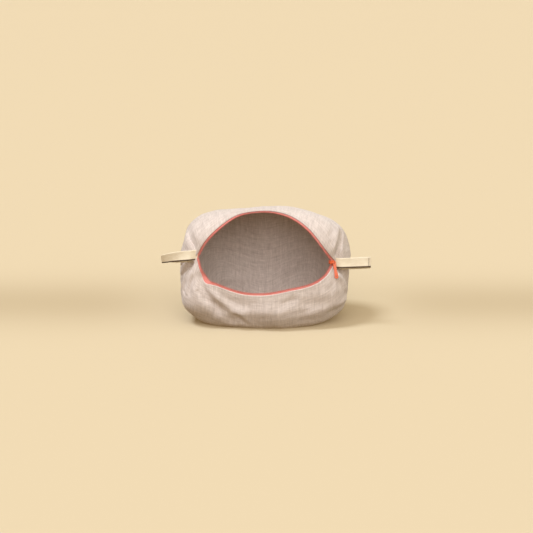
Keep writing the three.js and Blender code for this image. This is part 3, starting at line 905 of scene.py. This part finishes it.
def tab_places(tab, path):
    """Points of the ribbon on the bag, a row for each point of its path."""
    point, normal = cloth_faces(*tab_root(tab))
    origin = Vector(point[0, 0]) + Vector(normal[0, 0]) * (half_fold + tab["stand"])
    origin.z += tab["raise"]
    yaw = math.radians(tab["yaw"]) if tab["side"] > 0 else math.pi - math.radians(tab["yaw"])
    turned = Matrix.Rotation(yaw, 4, "Z")
    into = turned.inverted() @ -Vector(normal[0, 0])
    places = np.empty((len(path), ribbon_rows + 1, 3))
    for i, (x, y) in enumerate(path):
        share = max(x, 0) / tab["length"]
        twist = Matrix.Rotation(math.radians(tab["twist"]) * share**2, 3, "X")
        tuck = float(blend_step(-x, -root_run, tuck_run))
        close = 1 - root_closes * tuck
        layer = min(max(y / ribbon["layer"], -1), 1)
        grown = min(share / ribbon["drop_run"], 1)
        drop = ribbon["rear_drop"] * grown * (1 + tab["side"] * layer) / 2
        for j, width in enumerate(ribbon_widths):
            low = (0.5 - width / ribbon["width"]) * grown
            apart = ribbon["spread"] * low**2 * layer
            ripple = ribbon_wave(x, y, width, share)
            spot = twist @ Vector((x, y * close + ripple + apart, width - drop))
            spot.z += tab["lift"] * share - tab["droop"] * share**3
            spot += into * tuck_depth * tuck
            places[i, j] = turned @ spot + origin
    return places


def tab_root(tab):
    """Direction and distance of the tab's root on the front panel's end."""
    across = np.array([float(tab["side"])])
    path, lengths = thread_paths("front", across)
    distance = np.array([[float(tab["root"])]])
    return on_threads(path, lengths, distance), distance / slants("front", across)[:, None]


def tab_piece(tab, name):
    """A tab as a folded sheet, and the length that its ribbon is cut to."""
    path = ribbon_path(tab)
    places = tab_places(tab, path)
    run = running_length(path)
    from_front = run if tab["side"] > 0 else run[-1] - run
    sizes = np.stack(np.broadcast_arrays(from_front[:, None], ribbon_widths[None, :]), axis=-1)
    piece = grid_piece(name, places, sizes, tab["side"] > 0)
    add_thickness(piece, ribbon["thickness"])
    return piece, run[-1]


tab_right, right_ribbon = tab_piece(right_tab, "right_tab")
tab_left, left_ribbon = tab_piece(left_tab, "left_tab")
print("ribbon cut to", round(right_ribbon, 1), "and", round(left_ribbon, 1), "mm")

# %% [markdown]
# ## Topstitching
# A line of small stitches holds each hem down on its tape, about two millimetres from the fold.
# It could be painted in the material. Real stitches stand a little proud and catch the light, so
# each one is a small rounded grain of thread, laid on the cloth and pulled into it a little.

# %% Stitches
stitch_length = 2.5
stitch_pitch = 3.2
stitch_radius = 0.27
stitch_inset = 2.6
stitch_sink = 0.08
stitch_flattened = 0.8
hem_stitch_sink = 0.15
tab_stitch = {"from_fold": 3.5, "pitch": 2.7, "radius": 0.6}


def stitch_line(name, places, normals, pitch=stitch_pitch, radius=stitch_radius):
    """A row of stitches along places on a cloth's face, with the cloth's normals."""
    run = running_length(places)
    shape = bmesh.new()
    for start in np.arange(pitch / 2, run[-1] - stitch_length, pitch):
        first = Vector(between(start, run, places))
        last = Vector(between(start + stitch_length, run, places))
        out = Vector(between(start, run, normals)).normalized()
        way = (last - first).normalized()
        side = out.cross(way).normalized()
        middle = (first + last) / 2 + out * (radius - stitch_sink)
        turned = Matrix((way, side, out)).transposed().to_4x4()
        size = Matrix.Diagonal((stitch_length / 2, radius, radius * stitch_flattened, 1))
        place = Matrix.Translation(middle) @ turned @ size
        bmesh.ops.create_uvsphere(shape, u_segments=8, v_segments=6, radius=1, matrix=place)
    bmesh.ops.scale(shape, verts=shape.verts, vec=(mm, mm, mm))
    for face in shape.faces:
        face.smooth = True
    return piece_from(shape, name)


def hem_stitches(panel):
    """The line of stitches that holds a panel's hem down."""
    across = np.linspace(-lip_reach, lip_reach, lip_stations + 1)
    path, lengths = thread_paths(panel, across)
    slant = slants(panel, across)[:, None]
    distances = (allowance(panel, across)[:, None] + stitch_inset) * slant
    points, normals = cloth_faces(on_threads(path, lengths, distances), distances / slant)
    sunk = points[:, 0] - normals[:, 0] * hem_stitch_sink
    return stitch_line(panel + "_stitches", sunk, normals[:, 0])


def tab_stitches(tab, name, probe=0.5):
    """A line of stitches across a tab, on its outer layer."""
    layer = ribbon["layer"] + ribbon["thickness"] / 2
    spot = tab["length"] - ribbon["layer"] - tab_stitch["from_fold"]
    outer_face = -layer if tab["side"] > 0 else layer
    path = np.array([(x, outer_face) for x in (spot - probe, spot, spot + probe)])
    places = tab_places(tab, path)
    along = places[2] - places[0]
    across = np.gradient(places[1], axis=0)
    normals = unit(np.cross(across, along) if tab["side"] > 0 else np.cross(along, across))
    outwards = places[1] - tab_places(tab, path * (1, 0))[1]
    normals = normals * np.sign((normals * outwards).sum(axis=-1, keepdims=True))
    return stitch_line(name, places[1], normals, tab_stitch["pitch"], tab_stitch["radius"])


front_stitches = hem_stitches("front")
back_stitches = hem_stitches("back")
right_tab_stitches = tab_stitches(right_tab, "right_tab_stitches")
print("stitches:", triangles(front_stitches), triangles(back_stitches), "triangles")

# %% [markdown]
# ## Materials
# Every finish is made of nodes, so it needs no pictures. The cloth's patterns read the sheet's own
# UV map in metres: a thread is then a thread wide wherever the cloth bends. Cast pieces and
# stitches read the object's coordinates.

# %% Node helpers
def new_material(name, colour, roughness):
    """A material, its shader, and a helper that adds nodes to it and joins them."""
    material = bpy.data.materials.new(name)
    material.use_nodes = True
    tree = material.node_tree
    shader = tree.nodes["Principled BSDF"]
    shader.inputs["Base Color"].default_value = (*colour, 1)
    shader.inputs["Roughness"].default_value = roughness

    def add(kind, inputs=(), **settings):
        """A new node. Its inputs are values or other nodes' outputs."""
        made = tree.nodes.new(kind)
        for key, value in settings.items():
            setattr(made, key, value)
        for key, value in dict(inputs).items():
            if isinstance(value, bpy.types.NodeSocket):
                tree.links.new(value, made.inputs[key])
            else:
                made.inputs[key].default_value = value
        return made

    return material, shader, add


def plug(shader, socket, output):
    """Joins a node's output to a socket of the shader."""
    shader.id_data.links.new(output, shader.inputs[socket])


def maths(add, operation, first, second=0.0, third=0.0):
    """One step of arithmetic on values or on other nodes' outputs."""
    made = add("ShaderNodeMath", {0: first, 1: second, 2: third}, operation=operation)
    return made.outputs[0]


def cloth_coordinates(add):
    """The cloth's own sizes in metres: along it, and away from the zip."""
    uv = add("ShaderNodeUVMap", uv_map="cloth").outputs[0]
    parts = add("ShaderNodeSeparateXYZ", {0: uv})
    return uv, parts.outputs[0], parts.outputs[1]


def streaks(add, coordinates, scale, detail=3.0, offset=0.0):
    """Noise that is stretched by its scale, in features a metre."""
    placed = add(
        "ShaderNodeMapping", {"Vector": coordinates, "Scale": scale, "Location": (offset, offset, 0)}
    )
    made = add("ShaderNodeTexNoise", {"Vector": placed.outputs[0], "Scale": 1.0, "Detail": detail})
    return made.outputs[0]


def plain_weave(add, along, down, pitch, wander):
    """Height of a plain weave, where threads pass over and under each other in turn."""
    shift_along = maths(add, "MULTIPLY_ADD", wander, pitch * warp_strays, along)
    shift_down = maths(add, "MULTIPLY_ADD", wander, pitch * weft_strays, down)
    warp = maths(add, "SINE", maths(add, "MULTIPLY", shift_along, math.pi / pitch))
    weft = maths(add, "SINE", maths(add, "MULTIPLY", shift_down, math.pi / pitch))
    over = maths(add, "MULTIPLY_ADD", maths(add, "MULTIPLY", warp, weft), 0.5, 0.5)
    under = maths(add, "SUBTRACT", 1.0, over)
    upper = maths(add, "MULTIPLY", maths(add, "ABSOLUTE", warp), over)
    return maths(add, "MULTIPLY_ADD", maths(add, "ABSOLUTE", weft), under, upper)


def colour_range(add, value, low, high, dark, light):
    """A colour that runs from dark to light as a value goes from low to high."""
    share = add("ShaderNodeMapRange", {0: value, 1: low, 2: high}).outputs[0]
    mixed = add("ShaderNodeMix", {0: share, 6: (*dark, 1), 7: (*light, 1)}, data_type="RGBA")
    return mixed.outputs[2]


def rib(add, coordinate, pitch):
    """A wave that repeats at a pitch in metres."""
    return maths(add, "SINE", maths(add, "MULTIPLY", coordinate, 2 * math.pi / pitch))


def bump(add, height, depth, strength, under=None):
    """A relief of the surface, with its depth in metres, on top of another one."""
    inputs = {"Height": height, "Distance": depth, "Strength": strength}
    if under is not None:
        inputs["Normal"] = under
    return add("ShaderNodeBump", inputs).outputs[0]


# %% Linen
linen_pitch = 0.00072
linen_dark = (0.43, 0.352, 0.296)
linen_light = (0.705, 0.604, 0.531)
# How far a warp or a weft thread strays from its line, in pitches
warp_strays = 1.6
weft_strays = 1.2
# Features a metre along the cloth and down it, detail, and a shift that sets each pattern apart
linen_streaks = {
    "wander": ((70, 70, 1), 2.0, 0.0),
    "slubs down": ((520, 60, 1), 3.0, 0.0),
    "slubs along": ((60, 520, 1), 3.0, 7.0),
    "broad down": ((190, 9, 1), 2.0, 3.0),
    "broad along": ((9, 190, 1), 2.0, 11.0),
    "wrinkles": ((38, 30, 1), 3.0, 5.0),
}
broad_share = 0.6
weave_share = 0.1
linen_tones = (1.2, 2.1)
# Depth in metres, and strength
linen_relief = {"wrinkles": (0.0022, 0.5), "threads": (0.00035, 0.6), "weave": (0.00022, 0.55)}


def linen_material():
    """Undyed linen: a plain weave of uneven threads, broader streaks and faint wrinkles."""
    material, shader, add = new_material("linen", linen_light, 0.9)
    uv, along, down = cloth_coordinates(add)
    streak = {name: streaks(add, uv, *row) for name, row in linen_streaks.items()}
    weave = plain_weave(add, along, down, linen_pitch, streak["wander"])
    fine = maths(add, "ADD", streak["slubs down"], streak["slubs along"])
    broad = maths(add, "ADD", streak["broad down"], streak["broad along"])
    threads = maths(add, "MULTIPLY_ADD", broad, broad_share, fine)
    tone = maths(add, "MULTIPLY_ADD", weave, weave_share, threads)
    plug(shader, "Base Color", colour_range(add, tone, *linen_tones, linen_dark, linen_light))
    wrinkled = bump(add, streak["wrinkles"], *linen_relief["wrinkles"])
    thick = bump(add, threads, *linen_relief["threads"], wrinkled)
    plug(shader, "Normal", bump(add, weave, *linen_relief["weave"], thick))
    shader.inputs["Sheen Weight"].default_value = 0.25
    shader.inputs["Sheen Roughness"].default_value = 0.6
    shader.inputs["Specular IOR Level"].default_value = 0.2
    return material


# %% Zip tape, coil, lacquer, ribbon and thread
worn_tones = (0.3, 0.75)
fine_relief = 0.6
tape_dark = (0.68, 0.2, 0.156)
tape_light = (0.76, 0.285, 0.232)
# Pitch of the slanting ribs and of the threads across them, and what the threads count for
tape_weave = {"rib": 0.0011, "thread": 0.0008, "thread_share": 0.5, "tone": 0.06, "depth": 0.00012}


def tape_material():
    """Coral tape, woven with slanting ribs."""
    material, shader, add = new_material("zip tape", tape_light, 0.85)
    uv, along, down = cloth_coordinates(add)
    ribs = rib(add, maths(add, "ADD", along, down), tape_weave["rib"])
    threads = rib(add, down, tape_weave["thread"])
    weave = maths(add, "MULTIPLY_ADD", threads, tape_weave["thread_share"], ribs)
    worn = streaks(add, uv, (60, 240, 1))
    tone = maths(add, "MULTIPLY_ADD", weave, tape_weave["tone"], worn)
    plug(shader, "Base Color", colour_range(add, tone, *worn_tones, tape_dark, tape_light))
    plug(shader, "Normal", bump(add, weave, tape_weave["depth"], fine_relief))
    shader.inputs["Sheen Weight"].default_value = 0.2
    shader.inputs["Specular IOR Level"].default_value = 0.25
    return material


cloud_tones = (0.3, 0.7)
clouds_coarser = 8
dulling = 0.15


def cast_material(name, dark, light, roughness, grain, depth):
    """A finish on a cast or moulded piece: slight changes of tone and a fine grain."""
    material, shader, add = new_material(name, light, roughness)
    at = add("ShaderNodeTexCoord").outputs["Object"]
    coarse = grain / clouds_coarser
    cloud = add("ShaderNodeTexNoise", {"Vector": at, "Scale": coarse, "Detail": 3.0}).outputs[0]
    speck = add("ShaderNodeTexNoise", {"Vector": at, "Scale": grain, "Detail": 2.0}).outputs[0]
    least, most = roughness * (1 - dulling), roughness * (1 + dulling)
    plug(shader, "Base Color", colour_range(add, cloud, *cloud_tones, dark, light))
    plug(shader, "Roughness", add("ShaderNodeMapRange", {0: speck, 3: least, 4: most}).outputs[0])
    plug(shader, "Normal", bump(add, speck, depth, 0.5))
    return material, shader


ribbon_dark = (0.77, 0.66, 0.475)
ribbon_light = (0.84, 0.74, 0.555)
ribbon_weave = {"rib": 0.0009, "thread": 0.0006, "thread_share": 0.35, "tone": 0.05, "depth": 0.0001}
# The painted shadow of the gap between the ribbon's layers: its colour, its two heights across the ribbon,
# and how far along it the layer in front goes
painted_gap_shadow = {"colour": (0.09, 0.055, 0.03), "from": -0.0081, "to": -0.0075, "layer": 0.0755}


def ribbon_material():
    """Cream ribbon, with a painted shadow of the gap between its layers as a dark line along the lower edge
    of the layer in front.
    """
    material, shader, add = new_material("ribbon", ribbon_light, 0.8)
    uv, along, across = cloth_coordinates(add)
    ribs = rib(add, along, ribbon_weave["rib"])
    threads = rib(add, across, ribbon_weave["thread"])
    weave = maths(add, "MULTIPLY_ADD", threads, ribbon_weave["thread_share"], ribs)
    worn = streaks(add, uv, (90, 260, 1))
    tone = maths(add, "MULTIPLY_ADD", weave, ribbon_weave["tone"], worn)
    cream = colour_range(add, tone, *worn_tones, ribbon_dark, ribbon_light)
    # Painted shadow: the lower edge of the layer in front is darkened where the gap between the layers lies
    # in shade
    low = add("ShaderNodeMapRange", {0: across, 1: painted_gap_shadow["from"], 2: painted_gap_shadow["to"]}).outputs[0]
    line = maths(add, "SUBTRACT", 1.0, low)
    front = maths(add, "LESS_THAN", along, painted_gap_shadow["layer"])
    share = maths(add, "MULTIPLY", line, front)
    dark = (*painted_gap_shadow["colour"], 1)
    mixed = add("ShaderNodeMix", {0: share, 6: cream, 7: dark}, data_type="RGBA")
    plug(shader, "Base Color", mixed.outputs[2])
    plug(shader, "Normal", bump(add, weave, ribbon_weave["depth"], fine_relief))
    shader.inputs["Sheen Weight"].default_value = 0.15
    shader.inputs["Specular IOR Level"].default_value = 0.3
    return material


linen = linen_material()
tape = tape_material()
coil, _ = cast_material("zip coil", (0.59, 0.136, 0.1), (0.70, 0.216, 0.168), 0.42, 900, 0.00003)
lacquer, lacquer_shader = cast_material(
    "orange lacquer", (0.71, 0.115, 0.032), (0.78, 0.15, 0.042), 0.3, 700, 0.00003
)
lacquer_shader.inputs["Coat Weight"].default_value = 0.6
lacquer_shader.inputs["Coat Roughness"].default_value = 0.12
ribbon_cloth = ribbon_material()
linen_thread, _ = cast_material(
    "linen thread", (0.45, 0.36, 0.276), (0.61, 0.52, 0.424), 0.85, 1500, 0.0001
)
brown_thread, _ = cast_material(
    "brown thread", (0.10, 0.065, 0.04), (0.17, 0.12, 0.08), 0.85, 1500, 0.0001
)
print("materials:", ", ".join(material.name for material in bpy.data.materials))

# %% [markdown]
# ## Pieces on the frame
# Each piece takes its finish, rides with the bag and stands in for its CAD solid.

# %% Dress the frame
dressing = [
    (front_linen, linen, "front_panel", "linen"),
    (back_linen, linen, "back_panel", "linen"),
    (lower_tape, tape, "zip_tape_lower", "zip_tape"),
    (upper_tape, tape, "zip_tape_upper", "zip_tape"),
    (lower_coil, coil, "zip_coil_lower", "zip_coil"),
    (upper_coil, coil, "zip_coil_upper", "zip_coil"),
    (slider, lacquer, "zip_slider", "zip_metal"),
    (zip_pull, lacquer, "zip_pull", "zip_metal"),
    (tab_right, ribbon_cloth, "tab_right", "ribbon"),
    (tab_left, ribbon_cloth, "tab_left", "ribbon"),
    (front_stitches, linen_thread, None, "linen"),
    (back_stitches, linen_thread, None, "linen"),
    (right_tab_stitches, brown_thread, None, "ribbon"),
]
for piece, finish, node, slot in dressing:
    piece.data.materials.clear()
    piece.data.materials.append(finish)
    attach(piece, "root")
    if node:
        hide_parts(node)
print(len(dressing), "pieces,", sum(triangles(row[0]) for row in dressing), "triangles")

# %% [markdown]
# ## Floor and light
# The bag stands on a plain cream floor under soft studio light: a key from the upper left, a broad
# fill from the front and a weaker one from the right. The lamps are a little cool and the light
# from all round is warm, so lit cloth looks greyer and shaded cloth browner. The floor could throw
# its light back at the bag. Here the low half of the surroundings stands for that, and its
# strength is then a choice. The floor has a soft dark band behind the bag. It is painted shade,
# where a backdrop would curve up into a wall, and fades near the bag, where the bag's own shade takes over.

# %% Floor
floor_reach = 40
floor_light = (0.59, 0.482, 0.312)
floor_painted_shade = (0.482, 0.381, 0.235)
# The painted shade band's middle line behind the bag's middle, and half its width
painted_shade_middle = 0.12
painted_shade_reach = 0.17
# How far to each side the painted shade band has faded, and how steeply it fades
bag_shade_reach = 0.29
bag_shade_power = 4.0
floor_shape = bmesh.new()
bmesh.ops.create_grid(floor_shape, x_segments=8, y_segments=8, size=floor_reach)
floor = piece_from(floor_shape, "floor")
floor_material, floor_shader, floor_add = new_material("cream floor", floor_light, 0.9)
floor_at = floor_add("ShaderNodeTexCoord").outputs["Object"]
floor_sides = floor_add("ShaderNodeSeparateXYZ", {0: floor_at})
floor_x, floor_y = floor_sides.outputs[0], floor_sides.outputs[1]
# Painted shade: the floor's colour darkens in a band behind the bag, and the band fades out near the bag
floor_away = maths(floor_add, "MULTIPLY_ADD", floor_y, 1 / painted_shade_reach, -painted_shade_middle / painted_shade_reach)
floor_square = maths(floor_add, "MULTIPLY", floor_away, floor_away)
painted_band_shade = maths(floor_add, "EXPONENT", maths(floor_add, "MULTIPLY", floor_square, -1.0))
floor_aside = maths(floor_add, "ABSOLUTE", maths(floor_add, "MULTIPLY", floor_x, 1 / bag_shade_reach))
floor_power = maths(floor_add, "POWER", floor_aside, bag_shade_power)
floor_near = maths(floor_add, "EXPONENT", maths(floor_add, "MULTIPLY", floor_power, -1.0))
floor_shade = maths(floor_add, "MULTIPLY", painted_band_shade, maths(floor_add, "SUBTRACT", 1.0, floor_near))
floor_colour = colour_range(floor_add, floor_shade, 0.0, 1.0, floor_light, floor_painted_shade)
plug(floor_shader, "Base Color", floor_colour)
floor_shader.inputs["Specular IOR Level"].default_value = 0.1
floor.data.materials.append(floor_material)
floor.visible_diffuse = False

# %% Light
def soft_sun(name, from_where, energy, spread, colour):
    """A broad, soft light from a direction. spread is its width in degrees."""
    lamp = bpy.data.lights.new(name, "SUN")
    lamp.energy = energy
    lamp.angle = math.radians(spread)
    lamp.color = colour
    sun = bpy.data.objects.new(name, lamp)
    sun.rotation_euler = Vector(from_where).to_track_quat("Z", "Y").to_euler()
    bpy.context.scene.collection.objects.link(sun)


soft_sun("key", (-0.46, -0.23, 1.0), 2.28, 17, (0.75, 0.84, 1.0))
soft_sun("front fill", (0.0, -1.0, 0.8), 1.93, 50, (0.945, 0.945, 1.0))
soft_sun("side fill", (1.0, -0.45, 0.35), 0.76, 60, (0.85, 0.965, 1.0))
from_below = (0.355, 0.237, 0.105)
from_above = (0.6, 0.505, 0.375)
horizon_blend = 0.08
world = bpy.data.worlds.new("studio")
bpy.context.scene.world = world
world.use_nodes = True
sky = world.node_tree
direction = sky.nodes.new("ShaderNodeTexCoord").outputs["Generated"]
height = sky.nodes.new("ShaderNodeSeparateXYZ")
sky.links.new(direction, height.inputs[0])
horizon = sky.nodes.new("ShaderNodeMapRange")
horizon.inputs[1].default_value = -horizon_blend
horizon.inputs[2].default_value = horizon_blend
sky.links.new(height.outputs[2], horizon.inputs[0])
fill = sky.nodes.new("ShaderNodeMix")
fill.data_type = "RGBA"
fill.inputs[6].default_value = (*from_below, 1)
fill.inputs[7].default_value = (*from_above, 1)
sky.links.new(horizon.outputs[0], fill.inputs[0])
sky.links.new(fill.outputs[2], sky.nodes["Background"].inputs[0])
bpy.context.scene.view_settings.view_transform = "Standard"
print("lights:", ", ".join(lamp.name for lamp in bpy.data.lights))
